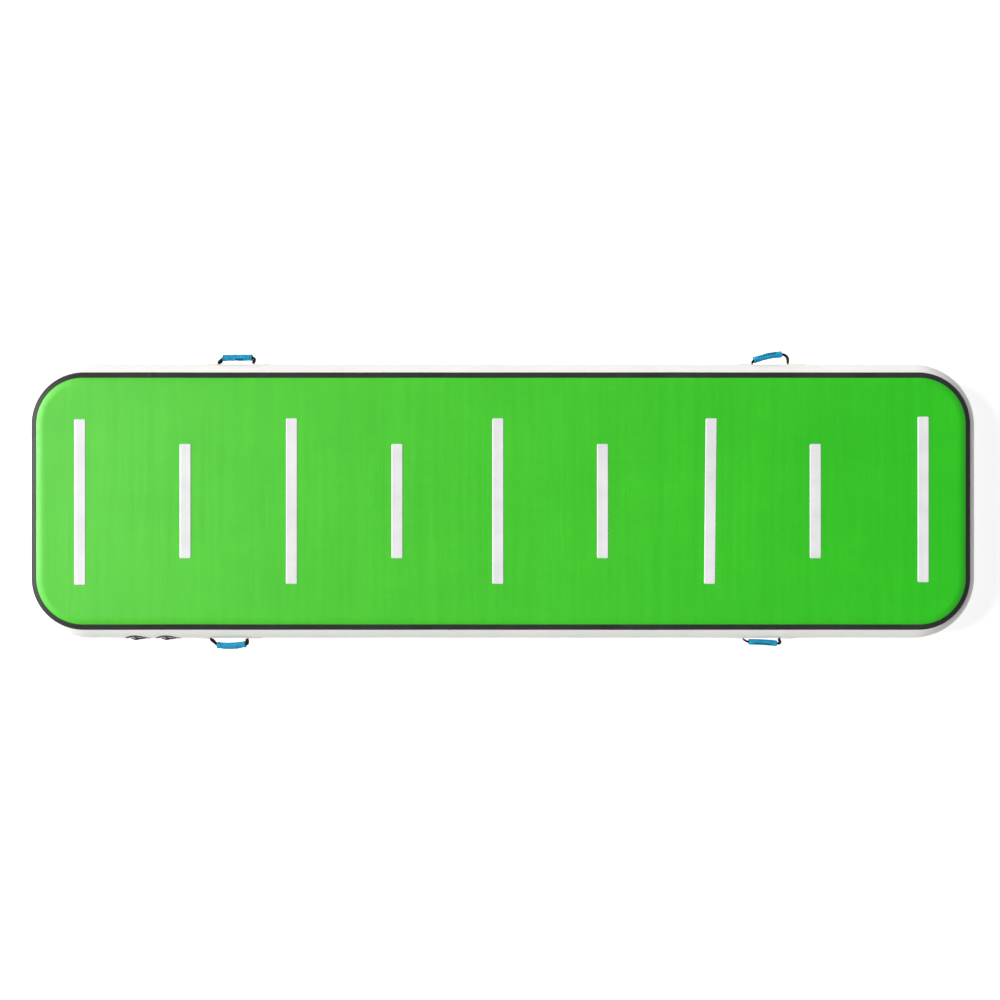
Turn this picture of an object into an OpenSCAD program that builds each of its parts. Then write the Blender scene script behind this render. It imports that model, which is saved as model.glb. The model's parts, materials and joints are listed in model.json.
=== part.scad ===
// Inflatable air track mat: a drop-stitch air chamber with a green working face, a bulging
// white side wall, seam tape, marker lines, four carry handles and two inflation valves.
// X runs along the mat, Y across it, Z up. The origin is the centre of the face it rests on.

/* [Mat] */
// Length over the side walls
mat_l = 4000; // [3000:100:6000]
// Width over the side walls
mat_w = 1160; // [1000:10:2000]
// Thickness when inflated
mat_t = 200; // [150:10:300]
// Plan radius of the outer corners
corner_r = 260; // [220:10:400]
// Thickness of the coated fabric
skin_t = 1.2; // [0.8:0.1:1.5]
// Gap that stands for the glue between two layers
glue = 0.1; // [0.05:0.05:0.2]

/* [Seams] */
// Angle above the mid-plane where the face sheets meet the side wall
seam_angle = 60; // [58:1:64]
// Lower edge of the seam tape, as an angle above the mid-plane
tape_from = 55; // [52:1:57]
// Upper edge of the seam tape, as an angle above the mid-plane
tape_to = 69; // [66:1:71]
// Thickness of the seam tape
tape_t = 0.8; // [0.5:0.1:1]
// How far the inner wall strip reaches under both face sheets, as an angle
inner_wall_angle = 74; // [70:1:78]

/* [Drop stitch] */
// Spacing of the thread bundles along the mat
thread_step_x = 150; // [120:10:250]
// Spacing of the thread bundles across the mat
thread_step_y = 133; // [100:1:160]
// Radius of one thread bundle
thread_r = 1.5; // [1:0.5:2]

/* [Marker lines] */
// Spacing of the marker lines
line_step = 438; // [400:1:450]
// Length of a long line
long_line = 688; // [500:1:700]
// Length of a short line
short_line = 475; // [300:1:500]
// Width of a line
line_w = 47; // [30:1:60]
// Corner radius of a line
line_corner = 6; // [3:1:10]
// Thickness of the line film
line_t = 0.4; // [0.2:0.1:0.6]

/* [Handles] */
// Width of the webbing
web_w = 20; // [16:1:21]
// Thickness of the doubled webbing
web_t = 5; // [4:0.5:5]
// Outer radius of the grip sleeve
grip_r = 12.3; // [12:0.1:12.3]
// Thickness of the grip sleeve
sleeve_t = 1; // [0.8:0.1:1]
// Distance of the handle hinge line outside the side wall
hinge_out = 6.3; // [6.3:0.1:7]
// Side of the square patch that glues each end down
patch_size = 62; // [50:1:70]

/* [Valves] */
// Radius of the valve flange
flange_r = 55; // [50:1:60]
// Width of the dark rim of the flange
flange_rim_w = 8.5; // [4:0.5:9]
// Radius of the valve tube
tube_r = 26; // [25:1:27]
// Radius of the bore that takes the pump nozzle
nozzle_r = 15; // [14:0.5:15]
// Depth of the bore that takes the pump nozzle
nozzle_depth = 11; // [10:1:12]
// Opening travel of the valve poppet
poppet_travel = 5; // [3:1:5]

/* [Hidden] */
$fn = 96;

edge_r = mat_t / 2;
mid_z = mat_t / 2;
core_l = mat_l - 2 * edge_r;
core_w = mat_w - 2 * edge_r;
core_r = corner_r - edge_r;
wall_y = mat_w / 2;
seam_gap = 0.2;

tape_in = edge_r + glue;
tape_out = tape_in + tape_t;
splice_len = 26;
splice_t = 0.5;
top_splice_x = -1457;
corner_splice_turn = 62;

// How far each line was laid off its even place, along and across the mat
long_line_nudges = [[3, -4], [7, 0], [-12, 0], [-5, 0], [3, 7]];
short_line_nudges = [[3, 0], [7, 0], [-15, 0], [-7, 0]];

// Each handle: side of the mat, x of its two anchors, then x and reach of the two grip ends,
// then the point that each leg bends towards. Reach is measured outward from the side wall.
handle_side = [1, 1, -1, -1];
handle_anchors = [[-1194, -1046], [1065, 1216], [-1230, -1076], [1027, 1181]];
grip_starts = [[-1179, 25], [1079, 20], [-1201, 31], [1052, 20]];
grip_ends = [[-1057, 28], [1186, 41], [-1084, 28], [1165, 24]];
near_bends = [[-1189, 15], [1072, 10], [-1217, 18], [1040, 10]];
far_bends = [[-1046, 24], [1216, 34], [-1074, 22], [1178, 20]];
leg_steps = 5;
spread = 0.9;
knuckle_r = 3.8;
knuckle_len = 7;
leg_end_len = 3;
grip_gap = 0.1;
// The grip stops short of the legs at both ends
grip_inset = 6;
patch_t = 1;
// The patches stop short of the loose webbing
patch_clear = 1.5;
tongue_t = 1;
tongue_w = 25;
tongue_len = 45;

valve_x = [-1537, -1408];
flange_t = 1.6;
rim_rise = 0.8;
collar_r = 30;
collar_low = 1.9;
collar_top = 3.2;
mouth_r = 21;
mouth_floor = -4;
chamber_r = 14.4;
seat_top = mouth_floor - nozzle_depth - 5;
seat_r = 10;
seat_t = 2;
tube_bottom = seat_top - 13 - poppet_travel;
spider_t = 2;
hub_r = 5;
stem_r = 2.5;
running = 0.06;
poppet_top = seat_top - seat_t - 1.5;
disc_t = 2.5;
disc_r = chamber_r - 0.8;
nut_r = 36;
nut_top = -10;
nut_t = 5;
hinge_up = 34;
strap_w = 8;
hinge_z = 3.8;
pin_r = 1.2;
knuckle_half = 4.7;
cap_knuckle_r = 1.75;
cap_r = 20.5;
cap_low = -1.5;
button_r = 6.5;
spring_r = 6.5;
wire_r = 0.6;
spring_turns = 4;
ring_gap = 0.2;

// ---- Shapes that repeat ----

// Part of a ring about the core line, between two angles above the mid-plane
module ring_sector(r_in, r_out, low, high) {
  far = 3 * r_out;
  middle = (low + high) / 2;
  intersection() {
    difference() {
      circle(r_out);
      circle(r_in);
    }
    polygon([
      [0, 0],
      [far * cos(low), far * sin(low)],
      [far * cos(middle), far * sin(middle)],
      [far * cos(high), far * sin(high)]
    ]);
  }
}

// Straight run of a section along one side; x of the section points out of the mat
module straight_run(length, reach, turn) {
  rotate([0, 0, turn]) translate([0, reach, mid_z]) rotate([90, 0, 90])
    linear_extrude(length, center = true) children();
}

// Quarter turn of a section round one corner of the core
module corner_run(side_x, side_y, turn) {
  translate([side_x * (core_l / 2 - core_r), side_y * (core_w / 2 - core_r), mid_z])
    rotate([0, 0, turn]) rotate_extrude(angle = 90) translate([core_r, 0]) children();
}

// Carries a section all the way round the mat
module round_the_mat() {
  for (turn = [0, 180]) straight_run(core_l - 2 * core_r, core_w / 2, turn) children();
  for (turn = [90, 270]) straight_run(core_w - 2 * core_r, core_l / 2, turn) children();
  corner_run(1, 1, 0) children();
  corner_run(-1, 1, 90) children();
  corner_run(-1, -1, 180) children();
  corner_run(1, -1, 270) children();
}

module core_plate(thickness) {
  linear_extrude(thickness) union() {
    square([core_l - 2 * core_r, core_w], center = true);
    square([core_l, core_w - 2 * core_r], center = true);
    for (sx = [-1, 1], sy = [-1, 1])
      translate([sx * (core_l / 2 - core_r), sy * (core_w / 2 - core_r)]) circle(core_r);
  }
}

// Curved slab that lies on the long side wall, cut to a window given in x and height
module wall_slab(side, x_low, x_high, r_in, r_out, angle) {
  translate([(x_low + x_high) / 2, side * core_w / 2, mid_z])
    rotate([90, 0, side > 0 ? 90 : -90])
      linear_extrude(x_high - x_low, center = true) ring_sector(r_in, r_out, -angle, angle);
}

// ---- Chamber ----

module face_sheet() {
  round_the_mat() ring_sector(edge_r - skin_t, edge_r, seam_angle, 90);
  translate([0, 0, mat_t - skin_t]) core_plate(skin_t);
}

module top_sheet() {
  color("limegreen") face_sheet();
}

module bottom_sheet() {
  color("gainsboro") translate([0, 0, mat_t]) mirror([0, 0, 1]) face_sheet();
}

module drop_stitch_threads() {
  columns = floor((core_l / 2 - core_r / 2) / thread_step_x);
  rows = floor((core_w / 2 - core_r / 2) / thread_step_y);
  color("ivory")
    for (i = [-columns:columns], j = [-rows:rows])
      translate([i * thread_step_x, j * thread_step_y, skin_t])
        cylinder(r = thread_r, h = mat_t - 2 * skin_t, $fn = 16);
}

module inner_side_wall() {
  outer = edge_r - skin_t - glue;
  color("whitesmoke") difference() {
    round_the_mat() ring_sector(outer - skin_t, outer, -inner_wall_angle, inner_wall_angle);
    valve_holes();
  }
}

module outer_side_wall() {
  edge = seam_angle - seam_gap;
  color("white") difference() {
    round_the_mat() ring_sector(edge_r - skin_t, edge_r, -edge, edge);
    valve_holes();
  }
}

// Strip inside the chamber that joins the two ends of the side wall
module side_wall_splice() {
  outer = edge_r - 2 * (skin_t + glue);
  half_len = 30;
  color("whitesmoke") rotate([0, 0, 90]) translate([0, core_l / 2, mid_z]) rotate([90, 0, 90])
    linear_extrude(2 * half_len, center = true)
      ring_sector(outer - skin_t, outer, -seam_angle, seam_angle);
}

module top_seam_tape() {
  color("dimgray") round_the_mat() ring_sector(tape_in, tape_out, tape_from, tape_to);
}

module bottom_seam_tape() {
  color("dimgray") round_the_mat() ring_sector(tape_in, tape_out, -tape_to, -tape_from);
}

// Short laps of tape where the ends of each tape meet
module tape_splices() {
  low = tape_out + glue;
  color("black") {
    translate([top_splice_x, 0, 0]) straight_run(splice_len, core_w / 2, 0)
      ring_sector(low, low + splice_t, tape_from, tape_to);
    translate([-top_splice_x, 0, 0]) straight_run(splice_len, core_w / 2, 180)
      ring_sector(low, low + splice_t, -tape_to, -tape_from);
    translate([core_l / 2 - core_r, core_r - core_w / 2, mid_z])
      rotate([0, 0, -corner_splice_turn]) rotate_extrude(angle = 6) translate([core_r, 0])
        ring_sector(low, low + splice_t, tape_from, tape_to);
  }
}

// ---- Marker lines ----

module marker_line(place, nudge, length) {
  color("white") translate([place * line_step + nudge[0], nudge[1], mat_t + glue])
    linear_extrude(line_t) union() {
      square([line_w - 2 * line_corner, length], center = true);
      square([line_w, length - 2 * line_corner], center = true);
      for (sx = [-1, 1], sy = [-1, 1])
        translate([sx * (line_w / 2 - line_corner), sy * (length / 2 - line_corner)])
          circle(line_corner, $fn = 32);
    }
}

// ---- Handles ----

// Point and direction on a leg's bend, from its root (t = 0) to the grip (t = 1)
function bend_point(root, bend, tip, t) = (1 - t) * (1 - t) * root + 2 * t * (1 - t) * bend + t * t * tip;
function bend_turn(root, bend, tip, t) =
  let (d = (1 - t) * (bend - root) + t * (tip - bend)) atan2(d[1], d[0]);

// The webbing is gathered at its root and spreads to its full width further out
function web_height(reach) = min(web_w, 2 * knuckle_r + spread * (reach - hinge_out));

// Piece of webbing that stands upright at one point of the handle's plan
module web_post(point, turn, side) {
  translate([point[0], side * (wall_y + point[1]), mid_z]) rotate([0, 0, side * turn])
    cube([leg_end_len, web_t, web_height(point[1])], center = true);
}

module leg_root(x, side) {
  translate([x, side * (wall_y + hinge_out), mid_z]) rotate([0, 90, 0])
    cylinder(r = knuckle_r, h = knuckle_len, center = true, $fn = 24);
}

module handle_leg(root, bend, tip, side) {
  for (k = [0:leg_steps - 1]) hull() {
    if (k == 0) leg_root(root[0], side);
    for (t = [max(k, 0.5), k + 1] / leg_steps)
      web_post(bend_point(root, bend, tip, t), bend_turn(root, bend, tip, t), side);
  }
}

function grip_turn(i) = atan2(grip_ends[i][1] - grip_starts[i][1], grip_ends[i][0] - grip_starts[i][0]);
function grip_len(i) = norm(grip_ends[i] - grip_starts[i]);

// Puts a shape drawn along +Z on the grip's line, starting at the grip's first end
module along_grip(i) {
  side = handle_side[i];
  translate([grip_starts[i][0], side * (wall_y + grip_starts[i][1]), mid_z])
    rotate([0, 0, side * grip_turn(i)]) rotate([0, 90, 0]) children();
}

module handle_webbing(i) {
  root_1 = [handle_anchors[i][0] + knuckle_len / 2, hinge_out];
  root_2 = [handle_anchors[i][1] - knuckle_len / 2, hinge_out];
  color("black") {
    handle_leg(root_1, near_bends[i], grip_starts[i], handle_side[i]);
    along_grip(i) translate([-web_w / 2, -web_t / 2, 0]) cube([web_w, web_t, grip_len(i)]);
    handle_leg(root_2, far_bends[i], grip_ends[i], handle_side[i]);
  }
}

module grip_core(i) {
  core_out = grip_r - sleeve_t - grip_gap;
  length = grip_len(i) - 2 * grip_inset;
  color("dimgray") along_grip(i) translate([0, 0, grip_inset]) difference() {
    cylinder(r = core_out, h = length);
    translate([0, 0, length / 2])
      cube([web_w + 2 * grip_gap, web_t + 2 * grip_gap, length + 2], center = true);
  }
}

module grip_sleeve(i) {
  length = grip_len(i) - 2 * grip_inset;
  color("deepskyblue") along_grip(i) translate([0, 0, grip_inset]) difference() {
    cylinder(r = grip_r, h = length);
    translate([0, 0, -1]) cylinder(r = grip_r - sleeve_t, h = length + 2);
  }
}

module handle_patches(i) {
  near = handle_anchors[i][0] - patch_clear;
  far = handle_anchors[i][1] + patch_clear;
  low = edge_r + glue + tongue_t + glue;
  angle = asin(patch_size / 2 / edge_r);
  color("white") {
    wall_slab(handle_side[i], near - patch_size, near, low, low + patch_t, angle);
    wall_slab(handle_side[i], far, far + patch_size, low, low + patch_t, angle);
  }
}

// Webbing ends that are glued between the wall and the patches
module handle_tongues() {
  low = edge_r + glue;
  angle = asin(tongue_w / 2 / edge_r);
  color("black") for (i = [0:3]) {
    wall_slab(handle_side[i], handle_anchors[i][0] - tongue_len, handle_anchors[i][0] + knuckle_len,
      low, low + tongue_t, angle);
    wall_slab(handle_side[i], handle_anchors[i][1] - knuckle_len, handle_anchors[i][1] + tongue_len,
      low, low + tongue_t, angle);
  }
}

// ---- Valves: drawn with +Z pointing out of the wall and +Y up the wall ----

module at_valve(i) {
  translate([valve_x[i], -wall_y, mid_z]) rotate([90, 0, 0]) children();
}

module valve_holes() {
  for (i = [0, 1]) at_valve(i) cylinder(r = tube_r + ring_gap, h = 4 * edge_r / 5, center = true);
}

// Ring that follows the wall's curve, between two radii about the valve's axis
module curved_ring(i, r_in, r_out, low, high) {
  intersection() {
    wall_slab(-1, valve_x[i] - r_out - 1, valve_x[i] + r_out + 1, low, high, 45);
    at_valve(i) difference() {
      cylinder(r = r_out, h = edge_r, center = true);
      cylinder(r = r_in, h = edge_r + 2, center = true);
    }
  }
}

module valve_flange(i) {
  low = edge_r + glue;
  color("lightgray") curved_ring(i, tube_r + ring_gap, flange_r - flange_rim_w - glue, low, low + flange_t);
}

// Dark rim of the flange, and the strap that runs in from it to the cap's hinge
module valve_flange_rim(i) {
  low = edge_r + glue;
  high = low + flange_t + rim_rise;
  strap_low = low + flange_t + glue;
  color("darkslategray") {
    curved_ring(i, flange_r - flange_rim_w, flange_r, low, high);
    intersection() {
      wall_slab(-1, valve_x[i] - strap_w / 2, valve_x[i] + strap_w / 2, strap_low, high, 45);
      at_valve(i) translate([0, (collar_r + flange_r - 4) / 2, 0])
        cube([2 * strap_w, flange_r - 4 - collar_r, edge_r], center = true);
    }
  }
}

module valve_body(i) {
  ear_gap = knuckle_half + ring_gap;
  ear_t = 3;
  ear_top = hinge_z + 1.5;
  color("darkslategray") at_valve(i) {
    difference() {
      union() {
        translate([0, 0, tube_bottom]) cylinder(r = tube_r, h = collar_top - tube_bottom);
        translate([0, 0, collar_low]) cylinder(r = collar_r, h = collar_top - collar_low);
        for (s = [-1, 1])
          translate([s * (ear_gap + ear_t / 2), collar_r + 2, (collar_low + ear_top) / 2])
            cube([ear_t, 2 * (hinge_up - collar_r - 2) + ear_t + 5, ear_top - collar_low], center = true);
      }
      translate([0, 0, mouth_floor]) cylinder(r = mouth_r, h = 20);
      translate([0, 0, mouth_floor - nozzle_depth]) cylinder(r = nozzle_r, h = nozzle_depth + 1);
      translate([0, 0, seat_top]) cylinder(r = chamber_r, h = nozzle_depth);
      translate([0, 0, seat_top - seat_t - 1]) cylinder(r = seat_r, h = seat_t + 2);
      translate([0, 0, tube_bottom + spider_t])
        cylinder(r = tube_r - 6, h = seat_top - seat_t - tube_bottom - spider_t);
      spider_windows();
      translate([0, 0, tube_bottom - 1]) cylinder(r = stem_r + running, h = spider_t + 2);
      cap_hinge_bar(pin_r, 30);
    }
  }
}

// Round bar on the cap's hinge line
module cap_hinge_bar(radius, length) {
  translate([0, hinge_up, hinge_z]) rotate([0, 90, 0])
    cylinder(r = radius, h = length, center = true, $fn = 32);
}

// Three air windows through the floor that guides the poppet's stem
module spider_windows() {
  window_in = hub_r + 1;
  window_out = tube_r - 8;
  for (turn = [0, 120, 240]) rotate([0, 0, turn])
    translate([0, 0, tube_bottom - 1]) rotate_extrude(angle = 100) translate([window_in, 0])
      square([window_out - window_in, spider_t + 2]);
}

// Saddle gasket between the wall and the back nut
module valve_gasket(i) {
  outer = edge_r - 2 * (skin_t + glue) - glue;
  color("black") intersection() {
    at_valve(i) difference() {
      translate([0, 0, nut_top + glue]) cylinder(r = nut_r - 2, h = -nut_top);
      translate([0, 0, nut_top - 1]) cylinder(r = tube_r + ring_gap, h = 2 - nut_top);
    }
    translate([valve_x[i], -core_w / 2, mid_z]) rotate([0, 90, 0])
      cylinder(r = outer, h = 3 * nut_r, center = true);
  }
}

module valve_back_nut(i) {
  color("dimgray") at_valve(i) difference() {
    translate([0, 0, nut_top - nut_t]) cylinder(r = nut_r, h = nut_t);
    translate([0, 0, nut_top - nut_t - 1]) cylinder(r = tube_r + running, h = nut_t + 2);
    for (turn = [0:60:300]) rotate([0, 0, turn])
      translate([nut_r, 0, nut_top - nut_t / 2]) cube([6, 7, nut_t + 2], center = true);
  }
}

module valve_cap(i) {
  arm_low = collar_top + ring_gap;
  arm_t = 1.4;
  color("black") at_valve(i) difference() {
    union() {
      translate([0, 0, cap_low]) cylinder(r = cap_r, h = arm_low + arm_t - cap_low);
      translate([0, hinge_up / 2, arm_low + arm_t / 2])
        cube([2 * knuckle_half, hinge_up, arm_t], center = true);
      cap_hinge_bar(cap_knuckle_r, 2 * knuckle_half);
    }
    cap_hinge_bar(pin_r + running, 30);
    translate([0, 0, cap_low - 1]) cylinder(r = cap_r - 4, h = 4);
  }
}

module valve_cap_pin(i) {
  color("silver") at_valve(i) cap_hinge_bar(pin_r, 2 * knuckle_half + 6);
}

module valve_poppet(i) {
  color("white") at_valve(i) {
    translate([0, 0, poppet_top - disc_t]) cylinder(r = disc_r, h = disc_t);
    translate([0, 0, tube_bottom - 2]) cylinder(r = stem_r, h = seat_top + 1.5 - tube_bottom + 2);
  }
}

module valve_seal(i) {
  color("black") at_valve(i) difference() {
    translate([0, 0, poppet_top + 0.05]) cylinder(r = disc_r, h = 1.4);
    translate([0, 0, poppet_top - 1]) cylinder(r = seat_r - 2, h = 4);
  }
}

module valve_button(i) {
  low = seat_top + 0.2;
  color("deepskyblue") at_valve(i) difference() {
    union() {
      translate([0, 0, low]) cylinder(r = button_r, h = 3);
      translate([0, 0, low + 1.5]) cube([2 * button_r + 3, 3, 2.4], center = true);
    }
    translate([0, 0, low - 1]) cylinder(r = stem_r + running, h = 2.5);
  }
}

// One point of the helix's wire, at an angle round the coil and an angle round the wire
function spring_point(turn, around, rise) = [
  (spring_r + wire_r * cos(around)) * cos(turn),
  (spring_r + wire_r * cos(around)) * sin(turn),
  rise * turn / 360 + wire_r * sin(around)
];

module valve_spring(i) {
  sides = 8;
  steps = 20 * spring_turns;
  spring_low = tube_bottom + spider_t + wire_r + glue;
  rise = (poppet_top - disc_t - wire_r - glue - spring_low) / spring_turns;
  points = [for (k = [0:steps], s = [0:sides - 1])
    spring_point(k * 360 * spring_turns / steps, s * 360 / sides, rise)];
  side_faces = [for (k = [0:steps - 1], s = [0:sides - 1])
    [k * sides + s, k * sides + (s + 1) % sides, (k + 1) * sides + (s + 1) % sides, (k + 1) * sides + s]];
  caps = [[for (s = [sides - 1:-1:0]) s], [for (s = [0:sides - 1]) steps * sides + s]];
  color("silver") at_valve(i) translate([0, 0, spring_low])
    polyhedron(points, concat(side_faces, caps));
}

top_sheet();
bottom_sheet();
drop_stitch_threads();
inner_side_wall();
outer_side_wall();
side_wall_splice();
top_seam_tape();
bottom_seam_tape();
tape_splices();
for (n = [1:5]) marker_line(2 * n - 6, long_line_nudges[n - 1], long_line);
for (n = [1:4]) marker_line(2 * n - 5, short_line_nudges[n - 1], short_line);
handle_tongues();
for (n = [1:4]) handle_patches(n - 1);
for (n = [1:4]) handle_webbing(n - 1);
for (n = [1:4]) grip_core(n - 1);
for (n = [1:4]) grip_sleeve(n - 1);
for (n = [1:2]) valve_flange(n - 1);
for (n = [1:2]) valve_flange_rim(n - 1);
for (n = [1:2]) valve_body(n - 1);
for (n = [1:2]) valve_gasket(n - 1);
for (n = [1:2]) valve_back_nut(n - 1);
for (n = [1:2]) valve_cap(n - 1);
for (n = [1:2]) valve_cap_pin(n - 1);
for (n = [1:2]) valve_poppet(n - 1);
for (n = [1:2]) valve_seal(n - 1);
for (n = [1:2]) valve_spring(n - 1);
for (n = [1:2]) valve_button(n - 1);
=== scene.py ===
"""Looks of the inflatable air track mat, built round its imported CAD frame."""

import json
import math

import bmesh
import bpy
import numpy as np
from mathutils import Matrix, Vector, noise


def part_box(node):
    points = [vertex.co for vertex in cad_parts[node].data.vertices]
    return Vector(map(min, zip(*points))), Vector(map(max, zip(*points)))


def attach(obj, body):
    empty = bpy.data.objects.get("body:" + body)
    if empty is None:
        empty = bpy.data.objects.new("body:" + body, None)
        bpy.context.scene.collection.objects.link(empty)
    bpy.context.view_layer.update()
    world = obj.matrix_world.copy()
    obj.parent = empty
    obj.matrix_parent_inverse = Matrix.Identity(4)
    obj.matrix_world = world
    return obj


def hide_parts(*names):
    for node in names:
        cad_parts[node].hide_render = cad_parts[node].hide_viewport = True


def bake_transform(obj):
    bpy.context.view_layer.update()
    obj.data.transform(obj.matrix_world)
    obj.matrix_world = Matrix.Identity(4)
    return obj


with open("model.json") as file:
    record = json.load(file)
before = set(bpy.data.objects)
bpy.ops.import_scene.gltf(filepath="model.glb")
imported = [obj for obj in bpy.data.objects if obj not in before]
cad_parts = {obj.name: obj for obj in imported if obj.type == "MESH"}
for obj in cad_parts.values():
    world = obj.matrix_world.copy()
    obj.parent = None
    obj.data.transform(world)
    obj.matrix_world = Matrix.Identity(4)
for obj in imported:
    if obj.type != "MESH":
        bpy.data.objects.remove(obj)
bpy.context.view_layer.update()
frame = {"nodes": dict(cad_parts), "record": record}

MM = 0.001

# ---- Dimensions in metres, read from the frame or shared by several pieces ----

TOP_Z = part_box("top_sheet")[1].z
BASE_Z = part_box("bottom_sheet")[0].z
wall_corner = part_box("outer_side_wall")[1]
# The side wall bulges in a round of EDGE_R about a core line that runs round the mat at half its height
EDGE_R = (TOP_Z - BASE_Z) / 2
DEGREE = math.radians(1) * EDGE_R
MID_Z = (TOP_Z + BASE_Z) / 2
CORE_X, CORE_Y = wall_corner.x - EDGE_R, wall_corner.y - EDGE_R
CORE_R = 160 * MM
WALL_Y = wall_corner.y
SKIN_T = 1.2 * MM
FILM_T = 0.35 * MM
PATCH_T = 0.9 * MM
TAPE_T = 0.8 * MM
GLUE = 0.1 * MM
LAP = 26 * MM
VALVE_HOLE_R = 26.4 * MM
# Pitch of the working face's diamonds and of its cloth
DIAMOND, CLOTH = 12 * MM, 1.6 * MM
# Degrees round the bulge from the middle of the wall: its seam with a face, and the tape's two edges
SEAM = 60
TAPE_FROM, TAPE_TO = 55.4, 70.8


# ---- Node helpers for materials ----

class Mat:
    """A small builder for node materials."""

    def __init__(self, name):
        self.mat = bpy.data.materials.new(name)
        self.mat.use_nodes = True
        self.tree = self.mat.node_tree
        self.bsdf = self.tree.nodes["Principled BSDF"]

    def node(self, kind, **values):
        made = self.tree.nodes.new("ShaderNode" + kind)
        for key, value in values.items():
            if key in made.inputs:
                made.inputs[key].default_value = value
            else:
                setattr(made, key, value)
        return made

    def link(self, a, b):
        self.tree.links.new(a, b)

    def feed(self, socket, value):
        """Links an output to a socket, or sets the socket to a number, a colour or a hex code's colour."""
        if isinstance(value, str):
            value = rgb(value)
        if isinstance(value, (int, float, tuple)):
            socket.default_value = value
        else:
            self.link(value, socket)

    def place(self, scale=(1, 1, 1)):
        """Object coordinates in metres, scaled."""
        mapping = self.node("Mapping", Scale=scale)
        self.link(self.node("TexCoord").outputs["Object"], mapping.inputs["Vector"])
        return mapping.outputs["Vector"]

    def strip(self):
        """A strip's own coordinates: metres along it and metres across it."""
        return self.node("UVMap", uv_map="strip").outputs["UV"]

    def noise(self, vector, scale, detail=3.0, roughness=0.5):
        made = self.node("TexNoise", Scale=scale, Detail=detail, Roughness=roughness)
        self.link(vector, made.inputs["Vector"])
        return made.outputs["Fac"]

    def math(self, operation, a, b=0.0, c=0.0):
        made = self.node("Math", operation=operation)
        for socket, value in zip(made.inputs, (a, b, c)):
            self.feed(socket, value)
        return made.outputs[0]

    def span(self, value, low, high, to_low=0.0, to_high=1.0):
        made = self.node("MapRange")
        self.link(value, made.inputs["Value"])
        for name, x in zip(("From Min", "From Max", "To Min", "To Max"), (low, high, to_low, to_high)):
            made.inputs[name].default_value = x
        return made.outputs["Result"]

    def mix(self, factor, a, b, blend="MIX"):
        made = self.node("Mix", data_type="RGBA", blend_type=blend)
        for socket, value in zip((made.inputs[0], made.inputs[6], made.inputs[7]), (factor, a, b)):
            self.feed(socket, value)
        return made.outputs[2]

    def tint(self, base, value, low, high, amount, colour):
        """Lays a colour over base, from none to amount of it as value goes from low to high."""
        return self.mix(self.span(value, low, high, 0, amount), base, colour)

    def axes(self, vector):
        made = self.node("SeparateXYZ")
        self.link(vector, made.inputs[0])
        return made.outputs

    def paint(self, colour, worn, low, high):
        """Sets the colour, and roughness from low to high over the middle of a noise's range."""
        self.link(colour, self.bsdf.inputs["Base Color"])
        self.link(self.span(worn, 0.3, 0.7, low, high), self.bsdf.inputs["Roughness"])

    def finish(self, *bumps, **constant):
        """Lays bumps over one another, each (height, millimetres, strength), and sets plain inputs."""
        normal = self.bsdf.inputs["Normal"]
        below = None
        for height, distance, strength in bumps:
            made = self.node("Bump", Strength=strength, Distance=distance * MM)
            self.link(height, made.inputs["Height"])
            if below is not None:
                self.link(below, made.inputs["Normal"])
            below = made.outputs["Normal"]
            self.link(below, normal)
        for key, value in constant.items():
            self.bsdf.inputs[key.replace("_", " ")].default_value = value
        return self.mat


def rgb(hex_colour):
    """Linear colour of an sRGB hex code."""
    parts = [int(hex_colour[i:i + 2], 16) / 255 for i in (0, 2, 4)]
    return (*[p / 12.92 if p <= 0.04045 else ((p + 0.055) / 1.055) ** 2.4 for p in parts], 1.0)


def waves(m, value, period):
    """A smooth ripple from 0 to 1 with the given period."""
    ripple = m.math("SINE", m.math("MULTIPLY", value, 2 * math.pi / period))
    return m.math("MULTIPLY_ADD", ripple, 0.5, 0.5)


def weave(m, vector, period):
    """Plain weave: crossing ripples, one over and one under."""
    x, y, _ = m.axes(vector)
    return m.math("MULTIPLY", waves(m, x, period), waves(m, y, period))


def diamonds(m, x, y):
    """The raised diamonds pressed into the working face, one about every 17 mm along it."""
    crossing = m.math("ADD", waves(m, m.math("ADD", x, y), DIAMOND),
                      waves(m, m.math("SUBTRACT", x, y), DIAMOND))
    return m.span(crossing, 0.9, 1.9)


# ---- Materials ----

def working_face_material():
    m = Mat("working_face_pvc")
    here = m.place()
    x, y, _ = m.axes(here)
    raised = diamonds(m, x, y)
    bands = m.noise(m.place((28, 1.2, 1)), 1.0, 2)
    patches = m.noise(m.place((1, 1.6, 1)), 3.2, 4, 0.6)
    streaks = m.noise(m.place((90, 6, 1)), 1.0, 2)
    specks = m.noise(here, 230, 1)
    base = m.mix(m.span(patches, 0.3, 0.7), "32B81C", "38C020")
    base = m.tint(base, bands, 0.35, 0.65, 0.35, "2CB019")
    base = m.tint(base, streaks, 0.5, 0.8, 0.25, "42C628")
    base = m.mix(m.math("MULTIPLY", raised, 0.25), base, "46CC2C")
    base = m.tint(base, specks, 0.74, 0.80, 0.5, "1E8A14")
    # Painted light: the green is made paler and warmer towards the left end and deeper towards the right, as
    # the warm light from the left falls on it
    drift = m.mix(m.span(x, -1.9, 1.9), (1.75, 1.04, 1.25, 1), (0.50, 0.96, 0.50, 1))
    base = m.mix(1.0, base, drift, "MULTIPLY")
    m.paint(base, m.noise(here, 40, 4), 0.46, 0.58)
    return m.finish(
        (raised, 0.35, 0.5),
        (weave(m, here, CLOTH), 0.12, 0.6),
        (m.noise(m.place((26, 2, 1)), 1.0, 2), 1.2, 0.5),
        Specular_IOR_Level=0.5)


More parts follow.
